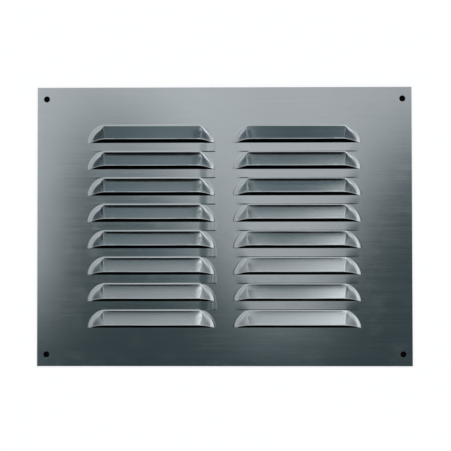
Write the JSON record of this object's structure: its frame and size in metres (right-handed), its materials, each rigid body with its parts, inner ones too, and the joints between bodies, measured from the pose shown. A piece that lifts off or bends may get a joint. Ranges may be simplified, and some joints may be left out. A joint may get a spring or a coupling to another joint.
{
  "type": "louvred sheet metal panel",
  "caption": "Flat rectangular steel sheet with two columns of pressed louvres, their mouths all facing one long edge, and a plain screw hole near each corner.",
  "frame": {"origin": "centre of the panel's back face", "axes": "+X along the louvres, +Y from the louvres' mouths to their bends, +Z out of the front face, the way the louvres stand"},
  "size_m": [0.305, 0.227, 0.0086],
  "materials": {
    "sheet": "satin, fine grain along the louvres"
  },
  "bodies": {
    "root": {"louvred_panel": "sheet"}
  },
  "joints": []
}
